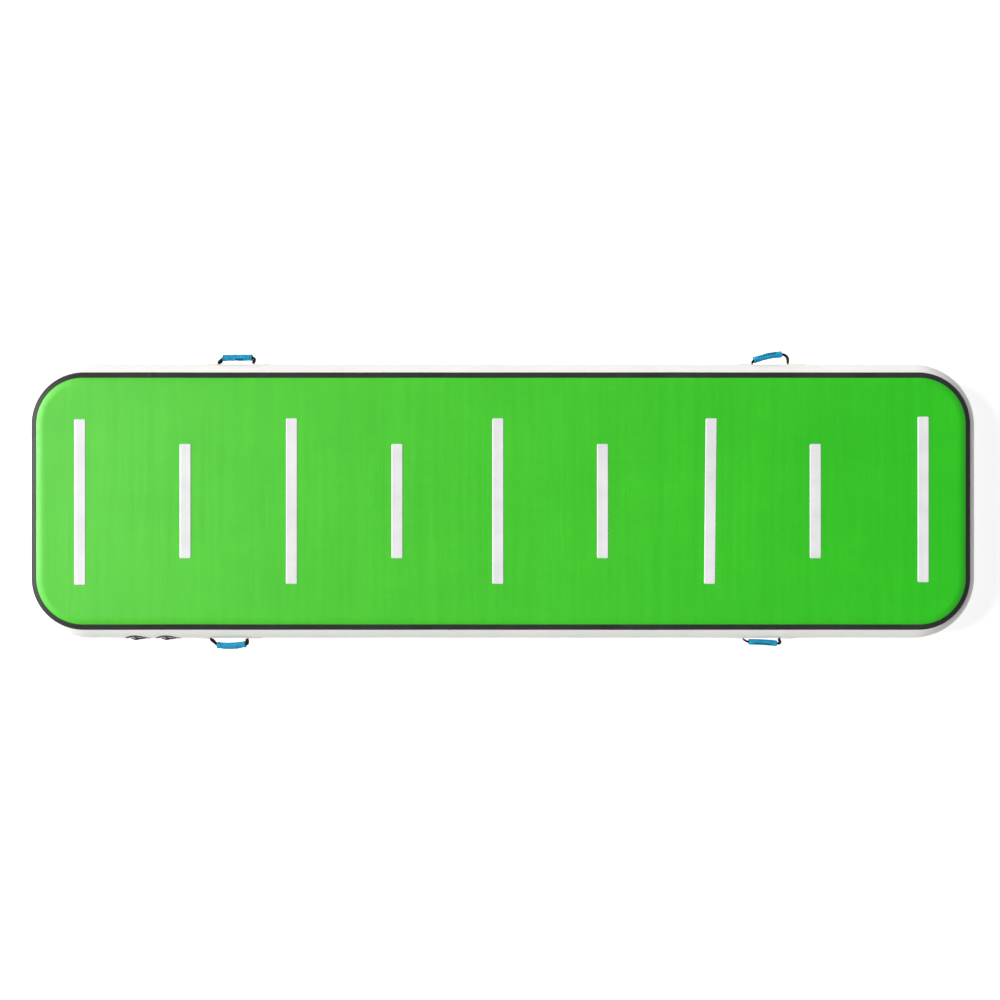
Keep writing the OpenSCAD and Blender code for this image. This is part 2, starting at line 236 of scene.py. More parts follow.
def coated_white(name, low, high, shade, mapped=True):
    """White PVC-coated cloth: fine weave, soft blotches and scuffs. Mapped ones have strip coordinates."""
    m = Mat(name)
    here = m.place()
    cloth = weave(m, m.strip() if mapped else here, 1.8 * MM)
    blotch = m.noise(here, 5, 4, 0.6)
    scuffs = m.noise(m.place((3, 3, 40)), 2.5, 5, 0.65)
    base = m.mix(m.span(blotch, 0.3, 0.7), low, high)
    base = m.tint(base, scuffs, 0.60, 0.78, 0.35, shade)
    if mapped:
        # Darker towards the glued edges
        _, across, _ = m.axes(m.strip())
        base = m.tint(base, m.math("ABSOLUTE", across), 92 * MM, 103 * MM, 0.30, shade)
    m.paint(base, m.noise(here, 30, 4), 0.36, 0.50)
    return m.finish(
        (cloth, 0.15, 0.7),
        (m.noise(here, 14, 3), 0.8, 0.5),
        Specular_IOR_Level=0.4)


def tape_material():
    m = Mat("seam_tape")
    here = m.strip()
    along, across, _ = m.axes(here)
    ribs = waves(m, along, 5 * MM)
    fine = waves(m, across, 1.3 * MM)
    worn = m.noise(m.place(), 9, 5, 0.65)
    base = m.mix(m.span(worn, 0.35, 0.7), "1F2120", "2C302E")
    base = m.mix(m.math("MULTIPLY", ribs, 0.45), base, "3B403D")
    base = m.tint(base, m.noise(m.place(), 160, 2), 0.66, 0.8, 0.5, "505552")
    m.paint(base, worn, 0.46, 0.62)
    return m.finish(
        (ribs, 0.35, 0.8),
        (fine, 0.1, 0.5),
        Specular_IOR_Level=0.2)


def film_material():
    """White film, with the diamonds and the cloth under it showing through."""
    m = Mat("marker_film")
    here = m.place()
    x, y, _ = m.axes(here)
    base = m.mix(m.span(m.noise(here, 12, 4), 0.35, 0.7), "DFDFE3", "D5D6DA")
    base = m.tint(base, m.noise(here, 300, 2), 0.70, 0.8, 0.35, "C9CFCB")
    m.paint(base, m.noise(here, 60, 3), 0.34, 0.46)
    return m.finish(
        (diamonds(m, x, y), 0.2, 0.4),
        (weave(m, here, CLOTH), 0.08, 0.5),
        Specular_IOR_Level=0.45)


def webbing_material():
    m = Mat("webbing")
    along, across, _ = m.axes(m.strip())
    chevron = m.math("ADD", along, m.math("PINGPONG", across, 3 * MM))
    twill = waves(m, chevron, 1.5 * MM)
    threads = waves(m, across, 0.9 * MM)
    base = m.mix(m.math("MULTIPLY", twill, threads), "030303", "0D0E0E")
    base = m.tint(base, m.noise(m.place(), 900, 2), 0.6, 0.8, 0.3, "1C1D1E")
    m.paint(base, m.noise(m.place(), 200, 3), 0.62, 0.82)
    return m.finish(
        (twill, 0.4, 0.9),
        (threads, 0.2, 0.6),
        Sheen_Weight=0.04, Sheen_Roughness=0.5, Specular_IOR_Level=0.2)


def sleeve_material():
    m = Mat("grip_sleeve")
    cloth = weave(m, m.strip(), 1.1 * MM)
    along, across, _ = m.axes(m.strip())
    ripstop = m.math("MAXIMUM", *(m.math("POWER", waves(m, way, 6 * MM), 12) for way in (along, across)))
    folds = m.noise(m.place(), 45, 4, 0.6)
    base = m.mix(m.span(folds, 0.3, 0.72), "0478A6", "10A2CE")
    # Painted highlight: the crests of the weave are lightened towards a pale blue
    base = m.mix(m.math("MULTIPLY", cloth, 0.25), base, "3CBEE0")
    base = m.mix(m.math("MULTIPLY", ripstop, 0.25), base, "086894")
    m.paint(base, m.noise(m.place(), 120, 3), 0.50, 0.68)
    return m.finish(
        (cloth, 0.25, 0.8),
        (folds, 1.2, 0.6),
        Sheen_Weight=0.05, Sheen_Roughness=0.4, Specular_IOR_Level=0.22)


def moulded(name, low, high, roughness):
    """Moulded plastic or rubber: fine spark-eroded grain and slow colour drift."""
    m = Mat(name)
    here = m.place()
    base = m.mix(m.span(m.noise(here, 35, 4), 0.35, 0.7), low, high)
    m.paint(base, m.noise(here, 90, 4), roughness - 0.07, roughness + 0.07)
    return m.finish(
        (m.noise(here, 2600, 3), 0.05, 0.6),
        (m.noise(here, 60, 3), 0.3, 0.3),
        Specular_IOR_Level=0.45)


def foam_material():
    m = Mat("grip_foam")
    cells = m.node("TexVoronoi", Scale=900.0)
    m.link(m.place(), cells.inputs["Vector"])
    base = m.mix(m.span(cells.outputs["Distance"], 0.0, 0.6), "141414", "3A3A3A")
    m.paint(base, m.noise(m.place(), 300, 2), 0.8, 0.95)
    return m.finish((cells.outputs["Distance"], 0.4, 0.8))


def thread_material():
    m = Mat("thread")
    twist = waves(m, m.axes(m.place((300, 300, 1000)))[2], 3.0)
    m.paint(m.mix(twist, "CFC8B4", "EDE8DA"), m.noise(m.place(), 300, 2), 0.6, 0.8)
    return m.finish((twist, 0.3, 0.7), Sheen_Weight=0.2)


def steel_material():
    m = Mat("steel")
    drawn = m.noise(m.place((40, 900, 900)), 3, 4)
    m.paint(m.mix(drawn, "9A9C9E", "C6C8CA"), drawn, 0.25, 0.42)
    return m.finish((drawn, 0.05, 0.5), Metallic=1.0)


MATERIALS = {
    "working_face_pvc": working_face_material(),
    "base_face_pvc": coated_white("base_face_pvc", "C9CCCB", "D3D6D4", "AEB2B0"),
    "wall_pvc": coated_white("wall_pvc", "E2E3E1", "E9E8E4", "C6C9C7"),
    "inner_wall_pvc": coated_white("inner_wall_pvc", "E1E1DC", "EAE9E2", "C4C6C2", mapped=False),
    "thread": thread_material(),
    "seam_tape": tape_material(),
    "marker_film": film_material(),
    "webbing": webbing_material(),
    "grip_foam": foam_material(),
    "grip_sleeve": sleeve_material(),
    "valve_flange": moulded("valve_flange", "A9B0AF", "BFC5C3", 0.42),
    "valve_rim": moulded("valve_rim", "252B2A", "363D3B", 0.55),
    "valve_plastic": moulded("valve_plastic", "262A2A", "343938", 0.42),
    "valve_rubber": moulded("valve_rubber", "141515", "222424", 0.7),
    "valve_white_plastic": moulded("valve_white_plastic", "D8D8D3", "E8E7E2", 0.38),
    "valve_button_plastic": moulded("valve_button_plastic", "1B6FA3", "2A86BE", 0.3),
    "steel": steel_material(),
}
SLOT_OF = {s["node"]: s["material_slot"] for s in frame["record"]["subparts"]}


# ---- Mesh helpers ----

def add_object(name, data):
    made = bpy.data.objects.new(name, data)
    bpy.context.scene.collection.objects.link(made)
    return made


def dressed(name, mesh, slot):
    """A smooth-shaded piece made of a mesh, in one material."""
    mesh.polygons.foreach_set("use_smooth", [True] * len(mesh.polygons))
    mesh.materials.clear()
    mesh.materials.append(MATERIALS[slot])
    piece = add_object(name, mesh)
    return piece


def make_object(name, points, faces, slot, uv=None):
    """A piece from points and faces; uv has the strip coordinates of each face's corners in turn."""
    mesh = bpy.data.meshes.new(name)
    mesh.from_pydata([tuple(p) for p in points], [], [tuple(f) for f in faces])
    if uv is not None:
        layer = mesh.uv_layers.new(name="strip")
        layer.data.foreach_set("uv", np.asarray(uv, np.float32).ravel())
    mesh.validate()
    mesh.update()
    return dressed(name, mesh, slot)


def cells(n_u, n_v, close_u=False, close_v=False):
    """The four corners (i, j) of each cell of a grid of points; a closed way runs on to its first line."""
    return [((i, j), (i + 1, j), (i + 1, j + 1), (i, j + 1))
            for i in range(n_u if close_u else n_u - 1) for j in range(n_v if close_v else n_v - 1)]


def grid_faces(n_u, n_v, close_u=False, close_v=False):
    """The faces of such a grid, as indices of its points."""
    return [[(i % n_u) * n_v + j % n_v for i, j in cell] for cell in cells(n_u, n_v, close_u, close_v)]


def loft(name, points, slot, u, v, close_u=False, close_v=False):
    """A surface through points [n_u, n_v, 3]; u and v are the strip coordinates of its lines."""
    size = points.shape[:2]
    uv = [(u[i], v[j]) for cell in cells(*size, close_u, close_v) for i, j in cell]
    return make_object(name, points.reshape(-1, 3), grid_faces(*size, close_u, close_v), slot, uv)


def apply_modifiers(piece):
    """Bakes a piece's modifiers into its mesh."""
    evaluated = piece.evaluated_get(bpy.context.evaluated_depsgraph_get())
    mesh = bpy.data.meshes.new_from_object(evaluated)
    piece.modifiers.clear()
    piece.data = mesh


def thicken(piece, thickness):
    """Gives a sheet its thickness, inwards from its outer face."""
    solid = piece.modifiers.new("thickness", "SOLIDIFY")
    solid.thickness = thickness
    solid.offset = -1.0
    solid.use_even_offset = False
    apply_modifiers(piece)


def facing_out(piece):
    """Makes every face of a closed piece point outward."""
    mesh = bmesh.new()
    mesh.from_mesh(piece.data)
    bmesh.ops.recalc_face_normals(mesh, faces=mesh.faces)
    mesh.to_mesh(piece.data)
    mesh.free()
    return piece


def ring_solid(name, points, slot, u, v):
    """A closed solid through points that join up both ways round."""
    return facing_out(loft(name, points, slot, u, v, close_u=True, close_v=True))


def bar_solid(name, points, slot, u, v):
    """A closed solid through rings of points, with its first and last ring filled in."""
    piece = loft(name, points, slot, u, v, close_v=True)
    n_u, n_v = points.shape[:2]
    mesh = bmesh.new()
    mesh.from_mesh(piece.data)
    mesh.verts.ensure_lookup_table()
    for ring in (range(n_v), range((n_u - 1) * n_v, n_u * n_v)):
        mesh.faces.new([mesh.verts[i] for i in ring])
    mesh.to_mesh(piece.data)
    mesh.free()
    return facing_out(piece)


def placed(piece, body, *nodes):
    """Puts a piece on a body, in place of the CAD nodes named."""
    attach(piece, body)
    if nodes:
        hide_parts(*nodes)
    return piece


def unit(vectors):
    return vectors / np.linalg.norm(vectors, axis=-1, keepdims=True)


def turns(n):
    """Even angles round a full turn."""
    return np.linspace(0, 2 * math.pi, n, endpoint=False)


def left_of(directions):
    """Plan directions turned a quarter turn to the left."""
    return np.stack([-directions[..., 1], directions[..., 0]], axis=-1)


# ---- The core outline that walls, tapes and sheets follow ----

class Outline:
    """Points round the core line with outward normals, anticlockwise from the +X side's low end."""

    def __init__(self, step):
        straight = np.array([CORE_X, CORE_Y]) - CORE_R
        centres = [straight * side for side in ((1, 1), (-1, 1), (-1, -1), (1, -1))]
        arc_steps = round(CORE_R * math.pi / 2 / step)
        places, normals, corner = [], [], []
        for k, centre in enumerate(centres):
            a = k * math.pi / 2
            normal = np.array([math.cos(a), math.sin(a)])
            start, end = centres[k - 1] + CORE_R * normal, centre + CORE_R * normal
            for t in np.arange(0, 1, 1 / round(np.linalg.norm(end - start) / step)):
                places.append(start + t * (end - start))
                normals.append(normal)
                corner.append(0.0)
            for t in np.arange(arc_steps) / arc_steps:
                b = a + t * math.pi / 2
                normal_b = np.array([math.cos(b), math.sin(b)])
                places.append(centre + CORE_R * normal_b)
                normals.append(normal_b)
                corner.append(math.sin(math.pi * t) ** 0.5)
        self.places, self.normals = np.array(places), np.array(normals)
        self.corner = np.array(corner)
        gaps = np.linalg.norm(np.roll(self.places, -1, 0) - self.places, axis=1)
        # Distance of each point along the line; along has the whole length as its last entry too
        self.along = np.concatenate([[0], np.cumsum(gaps)])
        self.at = self.along[:-1]
        self.n = len(places)

    def surface(self, angles, radii):
        """Points [n, m, 3] at m angles above the mid-plane; angles and radii may vary along the line."""
        a = np.radians(np.asarray(angles, float))
        size = (self.n, a.shape[-1])
        a, radii = np.broadcast_to(a, size), np.broadcast_to(radii, size)
        reach, height = radii * np.cos(a), radii * np.sin(a)
        plan = self.places[:, None] + self.normals[:, None] * reach[..., None]
        return np.concatenate([plan, (MID_Z + height)[..., None]], axis=2)


def soft_noise(points, size, seed):
    """Smooth noise from -1 to 1 at each point of an array, with features of about that size."""
    values = [noise.noise(Vector(p) + Vector((seed, 0, 0))) for p in points.reshape(-1, 3) / size]
    return np.array(values).reshape(points.shape[:-1])


# ---- Side wall, inner wall and tapes ----

def wall_radii(line, angles, points):
    """The wall's radius at each point: slow swells, and short puckers round the corners near the seams."""
    swell = 0.7 * MM * soft_noise(points, 0.35, 3)
    a = np.asarray(angles, float)
    near_seam = np.clip((np.abs(a) - 25) / 30, 0, 1)
    ripple = np.sin(line.at * 2 * np.pi / (31 * MM) + 2.2 * np.sin(line.at * 9))
    pucker = 0.8 * MM * (0.15 + line.corner)[:, None] * near_seam * ripple[:, None]
    return EDGE_R + np.minimum(swell + pucker, 0.1 * MM) - 0.1 * MM


def valve_x(n):
    low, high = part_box(f"valve_{n}_body")
    return (low.x + high.x) / 2


def cut_valve_holes(piece):
    """Cuts the wall where the two valve bodies pass through it."""
    for n in (1, 2):
        bpy.ops.mesh.primitive_cylinder_add(vertices=64, radius=VALVE_HOLE_R, depth=EDGE_R,
                                            location=(valve_x(n), -WALL_Y, MID_Z),
                                            rotation=(math.pi / 2, 0, 0))
        cutter = bpy.context.active_object
        cut = piece.modifiers.new("hole", "BOOLEAN")
        cut.operation, cut.solver, cut.object = "DIFFERENCE", "EXACT", cutter
        apply_modifiers(piece)
        bpy.data.objects.remove(cutter)


def side_wall():
    line = Outline(12 * MM)
    angles = np.linspace(-SEAM + 0.2, SEAM - 0.2, 31)
    points = line.surface(angles, wall_radii(line, angles, line.surface(angles, EDGE_R)))
    piece = loft("side_wall", points, "wall_pvc", line.along, np.radians(angles) * EDGE_R, close_u=True)
    thicken(piece, SKIN_T)
    cut_valve_holes(piece)
    placed(piece, "mat", "outer_side_wall")


def seam_tape(name, node, side):
    """Ribbed tape over a seam, with rounded edges that wander a little where it was laid by hand."""
    line = Outline(8 * MM)
    width = TAPE_TO - TAPE_FROM
    across = width * np.array([0, 0.02, 0.07, 0.13, 0.23, 0.33, 0.47, 0.6, 0.73, 0.83, 0.93, 0.98, 1])
    lift = TAPE_T * np.array([0.1, 0.75, 1, 1, 1, 1, 1, 1, 1, 1, 1, 0.75, 0.1])
    wander = np.stack([np.sin(line.at * k + side) for k in (2.1, 5.3, 11.7)]).mean(0) * 0.35
    rise = EDGE_R + GLUE + lift + 0.05 * MM * np.sin(line.at[:, None] * 37)
    outer = line.surface(side * (TAPE_FROM + across + wander[:, None]), rise)
    under = line.surface(side * (TAPE_FROM + across[::-4]), EDGE_R + GLUE * 0.3)
    points = np.concatenate([outer, under], axis=1)
    v = np.concatenate([across, across[::-4] + width, [2 * width]]) * DEGREE
    piece = placed(ring_solid(name, points, "seam_tape", line.along, v), "mat", node)


# ---- Face sheets and marker lines ----

def rounded_grid(half_x, half_y, radius, step):
    """A grid over a rounded rectangle: plan points [n, m, 2], square cells that bend into the corners."""
    def stops(half):
        flat = half - radius
        inner = np.linspace(-flat, flat, 2 * max(1, round(flat / step)) + 1)
        edge = np.linspace(0, radius, max(2, round(radius / step)) + 1)[1:]
        return np.concatenate([-flat - edge[::-1], inner, flat + edge])

    x, y = np.meshgrid(stops(half_x), stops(half_y), indexing="ij")
    flat_x, flat_y = half_x - radius, half_y - radius
    a = np.clip((np.abs(x) - flat_x) / radius, 0, 1)
    b = np.clip((np.abs(y) - flat_y) / radius, 0, 1)
    x = np.where(a > 0, np.sign(x) * (flat_x + radius * a * np.sqrt(1 - b * b / 2)), x)
    y = np.where(b > 0, np.sign(y) * (flat_y + radius * b * np.sqrt(1 - a * a / 2)), y)
    return np.stack([x, y], axis=2)


def rim_of(grid):
    """Indices of a grid's border, anticlockwise, and the outward normals there."""
    n, m = grid.shape[:2]
    index = np.arange(n * m).reshape(n, m)
    loop = np.concatenate([index[-1, :-1], index[:0:-1, -1], index[0, :0:-1], index[:-1, 0]])
    flat = grid.reshape(-1, 2)[loop]
    straight = np.array([CORE_X, CORE_Y]) - CORE_R
    return loop, flat, unit(flat - np.clip(flat, -straight, straight))


def face_lift(x, y):
    """How far the working face stands off its plane: rows of stitch dimples and slow swells."""
    rows = 0.06 * MM * np.sin(x * 2 * np.pi / (36 * MM))
    slow = 0.35 * MM * (np.sin(3.1 * x + 1.3) * np.sin(5.2 * y + 0.4) + 0.6 * np.sin(7.3 * x - 4.1 * y))
    edge = np.minimum(CORE_X - np.abs(x), CORE_Y - np.abs(y))
    fade = np.clip(edge / 0.06, 0, 1)
    return (rows + slow - 0.6 * MM) * fade


def face_sheet(name, node, slot, up):
    """A face with its border turned over the bulge to the seam, gathered a little in the corners."""
    grid = rounded_grid(CORE_X, CORE_Y, CORE_R, 10 * MM)
    n, m = grid.shape[:2]
    height = MID_Z + up * EDGE_R + (face_lift(grid[..., 0], grid[..., 1]) if up > 0 else 0)
    points = [np.concatenate([grid, np.broadcast_to(height, (n, m))[..., None]], axis=2).reshape(-1, 3)]
    faces = grid_faces(n, m)
    loop, flat, normals = rim_of(grid)
    ring, count = list(loop), len(loop)
    gather = 2 * np.pi * np.cumsum(np.linalg.norm(np.roll(flat, -1, 0) - flat, axis=1)) / (29 * MM)
    in_corner = (np.abs(normals).min(axis=1) > 0.05).astype(float)
    for k, angle in enumerate(np.linspace(90, SEAM, 13)[1:]):
        a = math.radians(angle)
        r = EDGE_R - 0.25 * MM * in_corner * (k / 11) * (1 + np.sin(gather))
        plan = flat + normals * (r * math.cos(a))[:, None]
        points.append(np.concatenate([plan, (MID_Z + up * r * math.sin(a))[:, None]], axis=1))
        new = [n * m + k * count + i for i in range(count)]
        faces += [(ring[i], new[i], new[(i + 1) % count], ring[(i + 1) % count]) for i in range(count)]
        ring = new
    all_points = np.concatenate(points)
    uv = [(all_points[i][0], all_points[i][1]) for f in faces for i in f]
    piece = make_object(name, all_points, faces, slot, uv)
    if up < 0:
        piece.data.flip_normals()
    thicken(piece, SKIN_T)
    placed(piece, "mat", node)


# Degrees that a marker line is turned from square
SKEW = {"long_line_4": -0.6}


def marker_line(node):
    """A line of white film that follows the face under it, laid by hand."""
    low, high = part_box(node)
    centre = (low + high) / 2
    half = (high - low) / 2
    grid = rounded_grid(half.x, half.y, 6 * MM, 3.6 * MM)
    a = math.radians(SKEW.get(node, 0.0))
    across, along = np.moveaxis(grid, -1, 0)
    x = centre.x + across * math.cos(a) - along * math.sin(a)
    y = centre.y + across * math.sin(a) + along * math.cos(a)
    edge = np.minimum(half.x - np.abs(across), half.y - np.abs(along))
    lift = 0.45 * MM * np.clip(edge / (1.5 * MM) + 0.45, 0, 1)
    z = MID_Z + EDGE_R + face_lift(x, y) + lift
    points = np.stack([x, y, z], axis=2)
    piece = make_object(node + "_film", points.reshape(-1, 3), grid_faces(*grid.shape[:2]), "marker_film")
    thicken(piece, FILM_T)
    placed(piece, "mat", node)


# ---- Tape laps ----

def tape_lap(name, line, start, length, side):
    """A short second layer where a tape's ends lap; start is the distance round the outline."""
    inside = np.flatnonzero((line.at >= start) & (line.at <= start + length))
    width = TAPE_TO - TAPE_FROM
    across = width * np.array([0.015, 0.04, 0.1, 0.27, 0.47, 0.67, 0.89, 0.96, 0.985])
    lift = 0.5 * MM * np.array([0.1, 0.9, 1, 1, 1, 1, 1, 0.9, 0.1])
    low = EDGE_R + GLUE + TAPE_T
    top = line.surface(side * (TAPE_FROM + across), low + lift)[inside]
    top[0], top[-1] = (line.surface(side * (TAPE_FROM + across), low)[inside[k]] for k in (0, -1))
    under = line.surface(side * (TAPE_FROM + across[::-1]), low - 0.1 * MM)[inside]
    v = np.concatenate([across, across[::-1] + width]) * DEGREE
    grid = np.concatenate([top, under], axis=1)
    piece = bar_solid(name, grid, "seam_tape", line.along[inside], np.append(v, v[-1]))
    placed(piece, "mat", "tape_splices")


def tape_laps():
    line = Outline(4 * MM)
    top_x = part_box("tape_splices")[0].x
    for name, side, place in (("top_tape_lap", 1, (top_x + LAP / 2, CORE_Y)),
                              ("bottom_tape_lap", -1, (-top_x - LAP / 2, -CORE_Y)),
                              ("corner_tape_lap", 1, (CORE_X - CORE_R * 0.53, -CORE_Y + CORE_R * 0.12))):
        nearest = np.linalg.norm(line.places - np.array(place), axis=1).argmin()
        tape_lap(name, line, line.along[nearest] - LAP / 2, LAP, side)


# ---- Handles ----

# Routes in millimetres: x along the mat, then reach outward from the side wall. Each handle has its
# side of the mat, the ends of its two patches, where its strap leaves the wall and the bend of each
# leg, how far each leg leans at its root, the two ends of its grip and how far the grip bows outward,
# where its seam lies (degrees from the top towards the outside), the seam's first and last stitch as
# shares of the grip with the number of stitches and, where it isn't GRIP_R, the sleeve's radius.
HANDLES = {
    "handle_1": dict(
        side=1, anchors=(-1194, -1046), roots=(-1195, -1051), bends=((-1187, 17), (-1037, 29)),
        lean=(0.55, 0.15), grip=((-1178, 27.5), (-1055, 29)), bow=0.5,
        seam=-36, stitches=(0.44, 0.64, 4)),
    "handle_2": dict(
        side=1, anchors=(1065, 1216), roots=(1066, 1217), bends=((1070, 12), (1222, 41)),
        lean=(0.45, 0.05), grip=((1074, 18), (1190, 43)), bow=3.6,
        seam=30, stitches=(0.20, 0.76, 8)),
    "handle_3": dict(
        side=-1, anchors=(-1230, -1076), roots=(-1229, -1078),
        bends=((-1216, 18), (-1069, 33)), lean=(0.30, 0.25),
        grip=((-1202, 31), (-1083, 26.5)), bow=4.0, seam=100, stitches=(0.20, 0.78, 8)),
    "handle_4": dict(
        side=-1, anchors=(1027, 1181), roots=(1029, 1180), bends=((1037, 14), (1192, 28)),
        lean=(0.10, -0.12), grip=((1053, 17.8), (1169, 24)), bow=-1.8,
        radius=11.9, seam=26, stitches=(0.21, 0.70, 8)),
}
HINGE_OUT = 6.3
HEM_OVER = 1
GRIP_R = 13.3
FOAM_R = 11.0
FOAM_SLOT_T, FOAM_SLOT_W = 3.4, 10.4
WRINKLE_CAP = 1.3
TONGUE_LEN = 45
FLAT_REACH = 1.35
PATCH_SIDE, PATCH_CORNER = 62, 11
PATCH_CLEAR = 1.5


def bend(start, control, end, n=24):
    """A smooth turn from start to end that leans towards the control point."""
    a, b, c = (np.array(p, float) for p in (start, control, end))
    t = np.linspace(0, 1, n, endpoint=False)[:, None]
    return (1 - t) ** 2 * a + 2 * t * (1 - t) * b + t * t * c


def grip_line(handle, inset, n):
    """The grip's centre line, bowed outward, from inset past its first end to inset before its last."""
    a, b = (np.array(p, float) for p in handle["grip"])
    along = unit(b - a)
    t = np.linspace(0, 1, n)[:, None]
    start, end = a + inset * along, b - inset * along
    return start + (end - start) * t + left_of(along) * handle["bow"] * 4 * t * (1 - t)


def strap_route(handle):
    """The strap's line: flat on the wall, out along one leg, through the grip and back."""
    x1, x2 = handle["anchors"]
    out_1, out_2 = handle["roots"]
    near, far = handle["bends"]
    first, last = handle["grip"]
    root_1, root_2 = (out_1, HINGE_OUT), (out_2, HINGE_OUT)
    flat_1, flat_2 = (out_1 - 7, FLAT_REACH), (out_2 + 7, FLAT_REACH)
    parts = [
        np.linspace((x1 - TONGUE_LEN, FLAT_REACH), flat_1, 24, endpoint=False),
        bend(flat_1, (out_1 - 1, FLAT_REACH), root_1, 8),
        bend(root_1, near, first),
        grip_line(handle, 0, 60)[:-1],
        bend(last, far, root_2),
        bend(root_2, (out_2 + 1, FLAT_REACH), flat_2, 8),
        np.linspace(flat_2, (x2 + TONGUE_LEN, FLAT_REACH), 24),
    ]
    line = np.concatenate(parts)
    for _ in range(3):
        line[1:-1] = (line[:-2] + 2 * line[1:-1] + line[2:]) / 4
    return line


def along_line(line, steps):
    """The line resampled evenly, with its directions and the distance along it."""
    gaps = np.concatenate([[0], np.cumsum(np.linalg.norm(np.diff(line, axis=0), axis=1))])
    s = np.linspace(0, gaps[-1], steps)
    points = np.stack([np.interp(s, gaps, line[:, k]) for k in (0, 1)], axis=1)
    return points, unit(np.gradient(points, axis=0)), s


def to_world(points, side):
    """World points in metres from x, reach and height above the mid-plane, in millimetres."""
    x, reach, height = np.moveaxis(points, -1, 0)
    return np.stack([x * MM, side * (WALL_Y + reach * MM), MID_Z + height * MM], axis=-1)


def ease(value, low, high):
    t = np.clip((value - low) / (high - low), 0, 1)
    return t * t * (3 - 2 * t)


def strap(name, handle):
    """Doubled webbing, flat on the wall under its patches and on edge through the grip."""
    plan, direction, s = along_line(strap_route(handle), 190)
    reach = plan[:, 1]
    half_w = 12 - 4.4 * ease(reach, 1.5, 4.5) + 2.4 * ease(reach, 7, 15)
    half_t = 1.0 + 3.0 * ease(reach, 2, 7)
    lean = np.where(s < s[-1] / 2, handle["lean"][0], handle["lean"][1]) * ease(reach, 2, 6)
    lean = lean * (1 - ease(reach, 9, 24))
    # The section as (place across the thickness, share of the half width, drop): two rounded layers
    half_rim = [(0, 1.0), (0.18, 0.3), (0.5, 0), (0.85, 0.3), (1, 1.0)]
    rim = [(-n, drop) for n, drop in half_rim[:0:-1]] + half_rim
    sides = [0.6, 0.2, -0.2, -0.6]
    outline = [(n, 1, -drop) for n, drop in rim] + [(1, share, 0) for share in sides]
    outline += [(n, -1, drop) for n, drop in rim[::-1]] + [(-1, share, 0) for share in sides[::-1]]
    across = left_of(direction)
    sway = 0.5 * np.sin(s / 17 + handle["anchors"][0])
    rings, v, walk = [], [], 0.0
    for k, (n, share, drop) in enumerate(outline):
        h = share * half_w + drop
        on_wall = 1 - ease(reach, 2, 8)
        ring = plan + across * (half_t * n)[:, None]
        ring[:, 1] -= on_wall * (EDGE_R / MM - np.sqrt((EDGE_R / MM) ** 2 - h ** 2))
        ring[:, 0] -= lean * h
        ring[:, 1] += 0.25 * ease(reach, 5, 15) * np.sin(s / 6 + 0.35 * h)
        rings.append(np.column_stack([ring, h + sway * ease(reach, 6, 16)]))
        v.append(walk)
        next_n, next_share, next_drop = outline[(k + 1) % len(outline)]
        step = (10 * next_share + next_drop) - (10 * share + drop)
        walk += math.hypot(3 * (next_n - n), step) * MM
    grid = to_world(np.stack(rings, axis=1), handle["side"])
    piece = bar_solid(name + "_strap", grid, "webbing", s * MM, v + [walk])
    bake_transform(piece)
    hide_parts(name + "_webbing", "handle_tongues")


def tube(handle, rings, inset, around, radius):
    """Rings [n, m, 3] in millimetres round the grip's line; radius is a function of share along and turn."""
    plan, direction, s = along_line(grip_line(handle, inset, 80), rings)
    across = left_of(direction)
    turn = turns(around)
    r = radius(np.arange(rings)[:, None] / (rings - 1), turn[None, :])
    out = plan[:, None, :] + across[:, None, :] * (r * np.sin(turn))[..., None]
    return np.concatenate([out, (r * np.cos(turn))[..., None]], axis=2), s, turn


def sleeve_radius(t, turn):
    """The slack fabric before it wrinkles: a rolled hem at each end and a soft waist."""
    end = np.minimum(t, 1 - t)
    hem = 0.55 * np.exp(-((end - 0.03) / 0.018) ** 2) - 0.45 * np.exp(-((end - 0.075) / 0.014) ** 2)
    mouth = -1.1 * np.exp(-(end / 0.012) ** 2)
    flat = 0.25 * np.cos(2 * turn)
    return GRIP_R - 0.35 + hem + mouth - flat + 0.3 * np.sin(math.pi * t)


